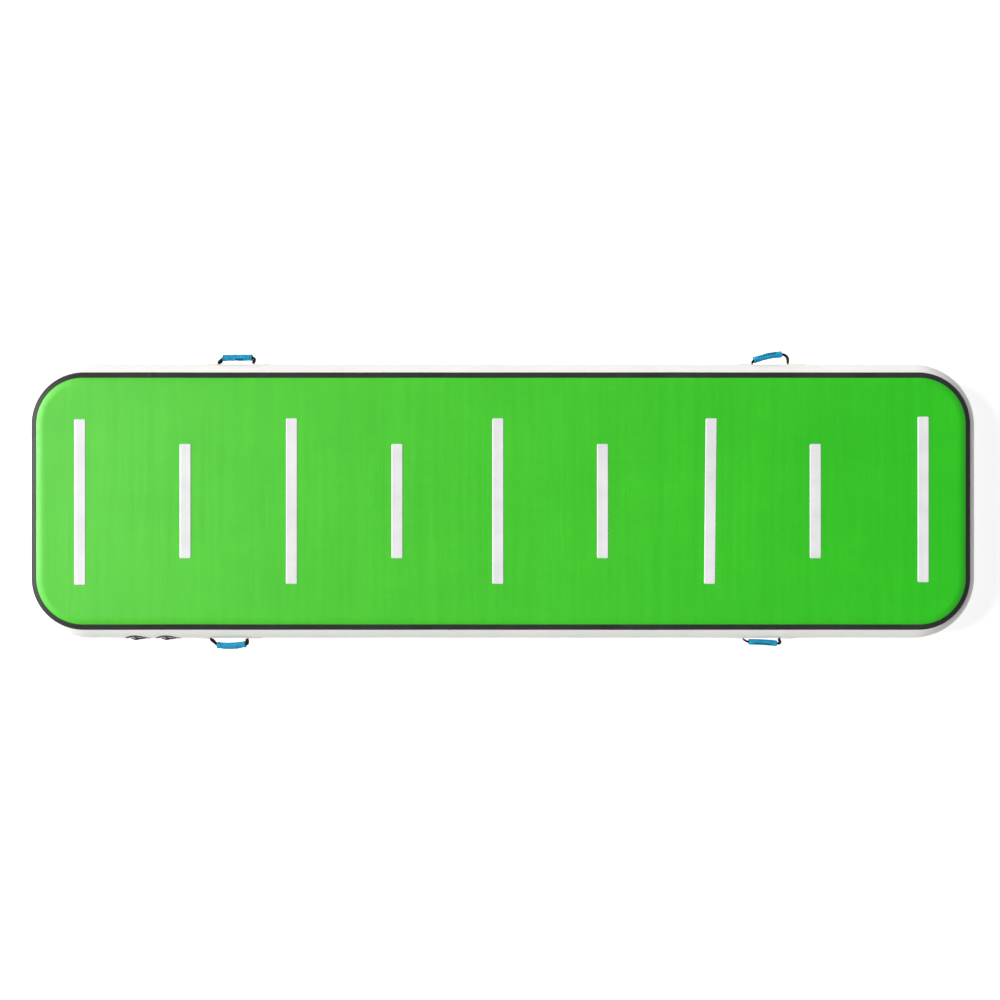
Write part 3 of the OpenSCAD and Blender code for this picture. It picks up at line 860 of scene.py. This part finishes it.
def wrinkled(grid, core, seed):
    """Cloth simulation of the sleeve: fabric a little too big for its foam puckers along the grip."""
    n, m = grid.shape[:2]
    # The run is ten times life size, where the solver's limits on lengths don't matter
    scale = 10.0
    rng = np.random.default_rng(seed)
    start = grid + rng.normal(0, 0.05, grid.shape)
    start[[0, 1, -2, -1]] = grid[[0, 1, -2, -1]]

    def sheet_of(points, name):
        mesh = bpy.data.meshes.new(name)
        corners = [tuple(p) for p in (points * scale * MM).reshape(-1, 3)]
        mesh.from_pydata(corners, [], grid_faces(n, m, close_v=True))
        return add_object(name, mesh)

    cloth, foam = sheet_of(start, "cloth_run"), sheet_of(core, "foam_run")
    foam.modifiers.new("hit", "COLLISION")
    foam.collision.thickness_outer = 0.002
    pins = cloth.vertex_groups.new(name="pins")
    pins.add([i for i in range(n * m) if i < 2 * m or i >= (n - 2) * m], 1.0, "REPLACE")
    run = cloth.modifiers.new("cloth", "CLOTH")
    cloth_values = dict(vertex_group_mass="pins", quality=6, mass=0.3, tension_stiffness=25,
                        compression_stiffness=25, shear_stiffness=8, bending_stiffness=0.4,
                        shrink_min=-0.07, use_pressure=True, uniform_pressure_force=-0.6)
    for key, value in cloth_values.items():
        setattr(run.settings, key, value)
    run.settings.effector_weights.gravity = 0
    run.collision_settings.distance_min = 0.004
    scene = bpy.context.scene
    for frame_number in range(1, 26):
        scene.frame_set(frame_number)
    evaluated = cloth.evaluated_get(bpy.context.evaluated_depsgraph_get())
    points = np.array([v.co for v in evaluated.data.vertices]).reshape(n, m, 3) / (scale * MM)
    scene.frame_set(1)
    bpy.data.objects.remove(cloth)
    bpy.data.objects.remove(foam)
    moved = points - grid
    length = np.linalg.norm(moved, axis=2, keepdims=True)
    return grid + moved * np.minimum(1, WRINKLE_CAP / np.maximum(length, 1e-9))


def sleeve(name, handle):
    """The blue fabric sleeve on a grip, closed by hems that turn in at both ends."""
    rings, around, lining = 66, 56, 12
    radius = handle.get("radius", GRIP_R)
    outer, s, turn = tube(handle, rings, -HEM_OVER, around,
                          lambda t, a: sleeve_radius(t, a) + radius - GRIP_R)
    foam, _, _ = tube(handle, rings, -HEM_OVER, around, lambda t, a: FOAM_R + 0 * t * a)
    outer = wrinkled(outer, foam, int(name[-1]))
    inner, _, _ = tube(handle, lining, -HEM_OVER, around, lambda t, a: FOAM_R + 0.12 + 0 * t * a)
    grid = np.concatenate([outer, inner[::-1]])
    u = np.concatenate([s, s[-1] + np.linspace(0, s[-1], lining), [2 * s[-1]]]) * MM
    v = np.append(turn, 2 * math.pi) * GRIP_R * MM
    points = to_world(grid, handle["side"])
    piece = ring_solid(name + "_sleeve", points, "grip_sleeve", u, v)
    placed(piece, name, name + "_grip_sleeve")
    seam_stitches(name, handle, outer)


def seam_stitches(name, handle, surface):
    """Slanted black whip stitches that close the sleeve along its seam."""
    n, m = surface.shape[:2]
    first, last, count = handle["stitches"]
    points, faces = [], []
    steps, sides = 9, 6
    middle = surface.mean(axis=1)
    for t in np.linspace(first, last, count):
        path = []
        for k in np.linspace(-1, 1, steps):
            i = (t + 0.016 * k) * (n - 1)
            j = (handle["seam"] / 360 + 0.052 * k) * m
            low, share = int(i), i - int(i)
            j0, j_share = int(math.floor(j)), j - math.floor(j)
            ring = surface[low] * (1 - share) + surface[low + 1] * share
            point = ring[j0 % m] * (1 - j_share) + ring[(j0 + 1) % m] * j_share
            out = point - middle[low]
            path.append(point + unit(out) * (1.2 - 1.5 * k ** 4))
        path = np.array(path)
        ahead = unit(np.gradient(path, axis=0))
        side_way = unit(np.cross(ahead, path - middle[int(t * (n - 1))]))
        up_way = np.cross(side_way, ahead)
        thick = 1.75 * np.sqrt(1 - np.linspace(-0.96, 0.96, steps) ** 2)[:, None]
        rings = [path + thick * (side_way * math.cos(a) + up_way * 0.75 * math.sin(a))
                 for a in np.arange(sides) * 2 * math.pi / sides]
        grid = np.stack(rings, axis=1)
        base, last_ring = len(points), (steps - 1) * sides
        points += list(to_world(grid, handle["side"]).reshape(-1, 3))
        stitch = grid_faces(steps, sides, close_v=True)
        stitch += [range(sides)[::-1], range(last_ring, last_ring + sides)]
        faces += [[base + i for i in face] for face in stitch]
    piece = make_object(name + "_stitches", points, faces, "webbing")
    placed(facing_out(piece), name)


def foam_core(name, handle):
    """The foam tube under the sleeve, with the slot that the strap runs through."""
    rings, around, inset = 30, 40, 1.0

    def skin(t, a):
        return FOAM_R - 1.2 * (np.exp(-(t / 0.01) ** 2) + np.exp(-((1 - t) / 0.01) ** 2)) + 0 * a

    def slot(t, a):
        thick, wide = np.abs(np.sin(a)) / FOAM_SLOT_T, np.abs(np.cos(a)) / FOAM_SLOT_W
        return 1 / (thick ** 4 + wide ** 4) ** 0.25 + 0 * t

    outer, s, turn = tube(handle, rings, inset, around, skin)
    inner, _, _ = tube(handle, rings, inset, around, slot)
    grid = np.concatenate([outer, inner[::-1]])
    u = np.concatenate([s, s + s[-1], [2 * s[-1]]]) * MM
    points = to_world(grid, handle["side"])
    piece = ring_solid(name + "_foam", points, "grip_foam", u, np.append(turn, 2 * math.pi) * 0.01)
    placed(piece, name, name + "_grip_core")


def patch(name, handle, end):
    """A round-cornered PVC patch glued over one end of the strap, with the strap showing through."""
    toward = -1 if end else 1
    half = PATCH_SIDE / 2 * MM
    grid = rounded_grid(half, half, PATCH_CORNER * MM, 1.6 * MM)
    x = (handle["anchors"][end] - toward * PATCH_CLEAR) * MM - toward * half + grid[..., 0]
    across = grid[..., 1]
    from_open_edge = half - toward * grid[..., 0]
    tongue = ((1 - ease(np.abs(across), 11 * MM, 15.5 * MM))
              * (1 - ease(from_open_edge, (TONGUE_LEN + 1) * MM, (TONGUE_LEN + 6) * MM)))
    edge = np.minimum(half - np.abs(grid[..., 0]), half - np.abs(across))
    thin = 0.45 * MM * (1 - ease(edge, 0, 1.6 * MM))
    waver = 0.12 * MM * np.sin(x * 210) * np.sin(across * 170 + 1)
    radius = EDGE_R + 1.25 * MM + 1.45 * MM * tongue + waver - thin
    angle = across / EDGE_R
    y = handle["side"] * (CORE_Y + radius * np.cos(angle))
    points = np.stack([x, y, MID_Z + radius * np.sin(angle)], axis=2)
    faces = grid_faces(*grid.shape[:2])
    if handle["side"] > 0:
        faces = [face[::-1] for face in faces]
    flat = grid.reshape(-1, 2)
    piece = make_object(f"{name}_patch_{end + 1}", points.reshape(-1, 3), faces, "wall_pvc",
                        [flat[i] for f in faces for i in f])
    thicken(piece, PATCH_T)
    placed(piece, "mat", name + "_patches")


def handle_pieces(name):
    handle = HANDLES[name]
    strap(name, handle)
    sleeve(name, handle)
    foam_core(name, handle)
    for end in (0, 1):
        patch(name, handle, end)


# ---- Valves ----

def on_wall(n, grid_r, grid_a, rise):
    """World points at a distance and turn about a valve's axis, standing off the curved wall by rise."""
    x = valve_x(n) + grid_r * np.cos(grid_a)
    up = grid_r * np.sin(grid_a)
    return np.stack([x, -(CORE_Y + np.sqrt((EDGE_R + rise) ** 2 - up ** 2)), MID_Z + up], axis=-1)


def wall_ring(name, n, slot, profile, node):
    """A ring moulded to the wall's curve from a closed profile of (radius, rise) in millimetres."""
    segments = 144
    r, rise = np.array(profile, float).T[:, None, :] * MM
    a = turns(segments)[:, None]
    grid = on_wall(n, r + 0 * a, a + 0 * r, rise + 0 * a)
    v = np.concatenate([[0], np.cumsum(np.hypot(*np.diff(profile + profile[:1], axis=0).T))]) * MM
    piece = ring_solid(name, grid, slot, np.arange(segments + 1) / segments * 0.3, v)
    placed(piece, "mat", node)


def flange(n):
    """Light rubber flange with fine concentric ribs."""
    ribs = [(r, 1.45 + 0.3 * math.cos((r - 27) * 2 * math.pi / 2.8)) for r in np.arange(27.0, 46.0, 0.35)]
    wall_ring(f"valve_{n}_ribbed_flange", n, "valve_flange",
              [(26.5, 0.1), (26.5, 1.2)] + ribs + [(46.4, 1.2), (46.4, 0.1)], f"valve_{n}_flange")


def rim(n):
    """Dark rolled rim round the flange, and the strap that runs in from it to the cap's hinge."""
    bead = [(46.6, 0.1), (46.6, 1.7), (47.2, 2.3), (48.2, 2.6), (49.6, 2.65), (51.4, 2.5), (52.9, 2.0),
            (54.1, 1.3), (54.9, 0.6), (55.0, 0.1)]
    wall_ring(f"valve_{n}_rolled_rim", n, "valve_rim", bead, f"valve_{n}_flange_rim")
    foot = 1.75
    right = [(1.2, 2.6), (1.6, 2.95), (3.4, 2.75), (4, 2.3), (4, foot)]
    section = [(-x, rise) for x, rise in right[::-1]] + right
    up = np.linspace(30.4, 51, 24)
    grid = []
    for u in up:
        fade = 1 - 0.35 * ease(u, 47, 51)
        across, rise = np.array(section).T * MM
        rise = foot * MM + (rise - foot * MM) * fade
        y = -(CORE_Y + np.sqrt((EDGE_R + rise) ** 2 - (u * MM) ** 2))
        grid.append(np.stack([valve_x(n) + across, y, MID_Z + u * MM + 0 * y], axis=1))
    grid = np.array(grid)
    v = np.arange(len(section) + 1) * MM
    piece = bar_solid(f"valve_{n}_hinge_strap", grid, "valve_rim", up * MM, v)
    placed(piece, "mat", f"valve_{n}_flange_rim")


def rounded_copy(node, body, width, name):
    """A copy of a CAD piece with its edges rounded by width, in millimetres."""
    mesh = bmesh.new()
    mesh.from_mesh(frame["nodes"][node].data)
    bmesh.ops.remove_doubles(mesh, verts=mesh.verts, dist=0.003 * MM)
    bmesh.ops.dissolve_limit(mesh, angle_limit=math.radians(1.5), verts=mesh.verts, edges=mesh.edges)
    data = bpy.data.meshes.new(name)
    mesh.to_mesh(data)
    mesh.free()
    piece = dressed(name, data, SLOT_OF[node])
    bevel = piece.modifiers.new("edges", "BEVEL")
    bevel.width, bevel.segments = width * MM, 3
    bevel.limit_method, bevel.angle_limit = "ANGLE", math.radians(40)
    bevel.use_clamp_overlap = True
    apply_modifiers(piece)
    piece.data.polygons.foreach_set("use_smooth", [True] * len(piece.data.polygons))
    piece.data.set_sharp_from_angle(angle=math.radians(38))
    placed(piece, body, node)


def spring(n):
    """The coil spring, copied from its CAD part as it stands; in the valve the plunger pushes its outer end
    towards the fixed inner one.
    """
    node = f"valve_{n}_spring"
    piece = dressed(f"valve_{n}_coil", frame["nodes"][node].data.copy(), SLOT_OF[node])
    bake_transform(piece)
    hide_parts(node)


def lathe(name, n, slot, profile, body, segments=96, knurl=0.0, knurls=0, dip=0.0):
    """A turned ring about a valve's axis: (radius, rise out of the wall) in millimetres, closed.

    Its rim is knurled. At the top, within dip of the middle, it stays low for the cap's arm to pass.
    """
    a = turns(segments)[:, None]
    r, out = np.array(profile, float).T[:, None, :]
    widest = (r > r.max() - 0.6).astype(float)
    r = r + knurl * widest * np.cos(a * knurls)
    under_arm = (np.sin(a) > 0) & (np.abs(r * np.cos(a)) < dip)
    out = np.where(under_arm, np.minimum(out, UNDER_ARM), out + 0 * a)
    x = valve_x(n) + r * np.cos(a) * MM
    z = MID_Z + r * np.sin(a) * MM
    grid = np.stack([x, -(WALL_Y + out * MM) + 0 * x, z], axis=-1)
    v = np.arange(len(profile) + 1) * MM
    piece = ring_solid(name, grid, slot, np.arange(segments + 1) / segments * 0.2, v)
    placed(piece, body)


# How far the cap's arm and the cap's face stand out of the wall, in millimetres
UNDER_ARM, CAP_FACE = 3.3, 4.75
# CAD parts of a valve that keep their shape: body they ride on, width of their rounded edges, new name
ROUNDED = {
    "body": ("mat", 0.3, "moulded_body"),
    "gasket": ("mat", 0.3, "soft_gasket"),
    "back_nut": ("mat", 0.5, "ring_nut"),
    "cap": ("lid", 0.35, "hinged_cap"),
    "cap_pin": ("mat", 0.2, "hinge_pin"),
    "poppet": ("plunger", 0.25, "stem_and_disc"),
    "seal": ("plunger", 0.25, "soft_seal"),
    "button": ("push_button", 0.3, "finger_button"),
}


def valve_pieces(n):
    flange(n)
    rim(n)
    for part, (body, width, name) in ROUNDED.items():
        rides_on = body if body == "mat" else f"valve_{n}_{body}"
        rounded_copy(f"valve_{n}_{part}", rides_on, width, f"valve_{n}_{name}")
    spring(n)
    # Finger ridge round the collar, and raised rings with a finger tab on the cap
    lathe(f"valve_{n}_collar_grip", n, "valve_plastic",
          [(27.2, 3.25), (27.6, 3.7), (28.6, 3.95), (29.4, 3.6), (29.9, 3.0), (30.0, 2.4), (28.6, 2.4),
           (27.4, 2.8)], "mat", 192, 0.22, 48, dip=6.4)
    for k, (r, high) in enumerate(((17.2, 0.75), (11.5, 0.55), (5.5, 0.45))):
        side = [(1.1, -0.2), (1.0, high * 0.5), (0.45, high)]
        lathe(f"valve_{n}_cap_ring_{k + 1}", n, "valve_rubber",
              [(r - x, CAP_FACE + rise) for x, rise in side]
              + [(r + x, CAP_FACE + rise) for x, rise in side[::-1]], f"valve_{n}_lid")
    cap_tab(n)


def cap_tab(n):
    """Finger tab that sticks out below the cap, ribbed on top."""
    low, thick = 3.55, 1.7
    rows = np.linspace(18.5, 26.8, 19)
    half = np.array([6.2 * math.sqrt(max(0.06, 1 - (max(0, (r - 22.5)) / 4.6) ** 2)) for r in rows])
    across = np.array([-1, -0.94, -0.8, -0.4, 0, 0.4, 0.8, 0.94, 1.0])
    bulge = np.array([0.35, 0.85, 1, 1, 1, 1, 1, 0.85, 0.35])
    grid = []
    for k, r in enumerate(rows):
        x = valve_x(n) + np.concatenate([across, across[::-1]]) * half[k] * MM
        ridge = 0.28 * max(0.0, math.sin(r * 2.6)) * (r > 20.5)
        top = low + (thick + ridge) * bulge
        out = np.concatenate([top, low + 0.3 * (1 - bulge[::-1])])
        grid.append(np.stack([x, -(WALL_Y + out * MM), np.full(x.shape, MID_Z - r * MM)], axis=1))
    grid = np.array(grid)
    v = np.arange(2 * len(across) + 1) * MM
    placed(bar_solid(f"valve_{n}_cap_tab", grid, "valve_rubber", rows * MM, v), f"valve_{n}_lid")


# ---- Camera, light and floor ----

CAMERA_Z = 4.8
LENS, SENSOR = 39.87, 36.0
SHIFT = (-0.0009, 0.0011)
# Strengths of the sky, the sun-like key and the left wash in watts; the key's height is in degrees
SKY = 0.20
KEY, KEY_HEIGHT = 5.25, 33
WASH = 70
FLOOR_REACH = 30.0


def camera():
    data = bpy.data.cameras.new("camera")
    data.lens, data.sensor_width = LENS, SENSOR
    data.shift_x, data.shift_y = SHIFT
    data.clip_end = 100
    cam = add_object("camera", data)
    cam.location = (0, 0, CAMERA_Z)
    bpy.context.scene.camera = cam


def studio():
    """A broad sun-like key low on the left, a weak even sky and a soft light off the left end."""
    world = bpy.data.worlds.new("studio")
    bpy.context.scene.world = world
    world.use_nodes = True
    tree = world.node_tree
    sky = tree.nodes["Background"]
    sky.inputs["Color"].default_value = (0.97, 0.98, 1, 1)
    sky.inputs["Strength"].default_value = SKY
    # Past the floor's edge the room is as pale as the floor, without lighting the mat more
    room = tree.nodes.new("ShaderNodeBackground")
    room.inputs["Color"].default_value = (1, 1, 1, 1)
    room.inputs["Strength"].default_value = 1.0
    seen = tree.nodes.new("ShaderNodeLightPath").outputs["Is Camera Ray"]
    choose = tree.nodes.new("ShaderNodeMixShader")
    for socket, output in zip(choose.inputs, (seen, sky.outputs[0], room.outputs[0])):
        tree.links.new(output, socket)
    tree.links.new(choose.outputs[0], tree.nodes["World Output"].inputs["Surface"])
    data = bpy.data.lights.new("key_left", "SUN")
    data.energy = KEY
    data.angle = math.radians(24)
    data.color = (1.0, 0.985, 0.955)
    key = add_object("key_left", data)
    toward = Vector((-1, 0.13, math.tan(math.radians(KEY_HEIGHT))))
    key.rotation_euler = toward.to_track_quat("Z", "Y").to_euler()
    data = bpy.data.lights.new("wash_left", "AREA")
    data.shape = "RECTANGLE"
    data.size, data.size_y = 2.5, 2.5
    data.energy = WASH
    data.color = (1.0, 0.97, 0.90)
    wash = add_object("wash_left", data)
    wash.location = (-5.5, 0.3, 2.6)
    wash.rotation_euler = (Vector((0, 0, 0.1)) - wash.location).to_track_quat("-Z", "Y").to_euler()
    bpy.context.scene.view_settings.view_transform = "Standard"
    bpy.context.scene.view_settings.look = "None"


def floor():
    m = Mat("studio_floor")
    base = m.mix(m.noise(m.place(), 2, 3), "B4B4B4", "B8B8B8")
    m.link(base, m.bsdf.inputs["Base Color"])
    m.finish(Roughness=0.9, Specular_IOR_Level=0.1, Emission_Color=(1, 1, 1, 1), Emission_Strength=0.8)
    mesh = bpy.data.meshes.new("studio_floor")
    corners = [(x * FLOOR_REACH, y * FLOOR_REACH, 0) for x, y in ((-1, -1), (1, -1), (1, 1), (-1, 1))]
    mesh.from_pydata(corners, [], [(0, 1, 2, 3)])
    mesh.materials.append(m.mat)
    piece = add_object("studio_floor", mesh)
    piece.location.z = -0.5 * MM


camera()
studio()
floor()

for node_name, node_object in frame["nodes"].items():
    node_object.data.materials.clear()
    node_object.data.materials.append(MATERIALS[SLOT_OF[node_name]])

side_wall()
seam_tape("top_tape", "top_seam_tape", 1)
seam_tape("bottom_tape", "bottom_seam_tape", -1)
face_sheet("working_face", "top_sheet", "working_face_pvc", 1)
face_sheet("base_face", "bottom_sheet", "base_face_pvc", -1)
for name in [n for n in frame["nodes"] if "_line_" in n]:
    marker_line(name)
tape_laps()
for name in HANDLES:
    handle_pieces(name)
for number in (1, 2):
    valve_pieces(number)
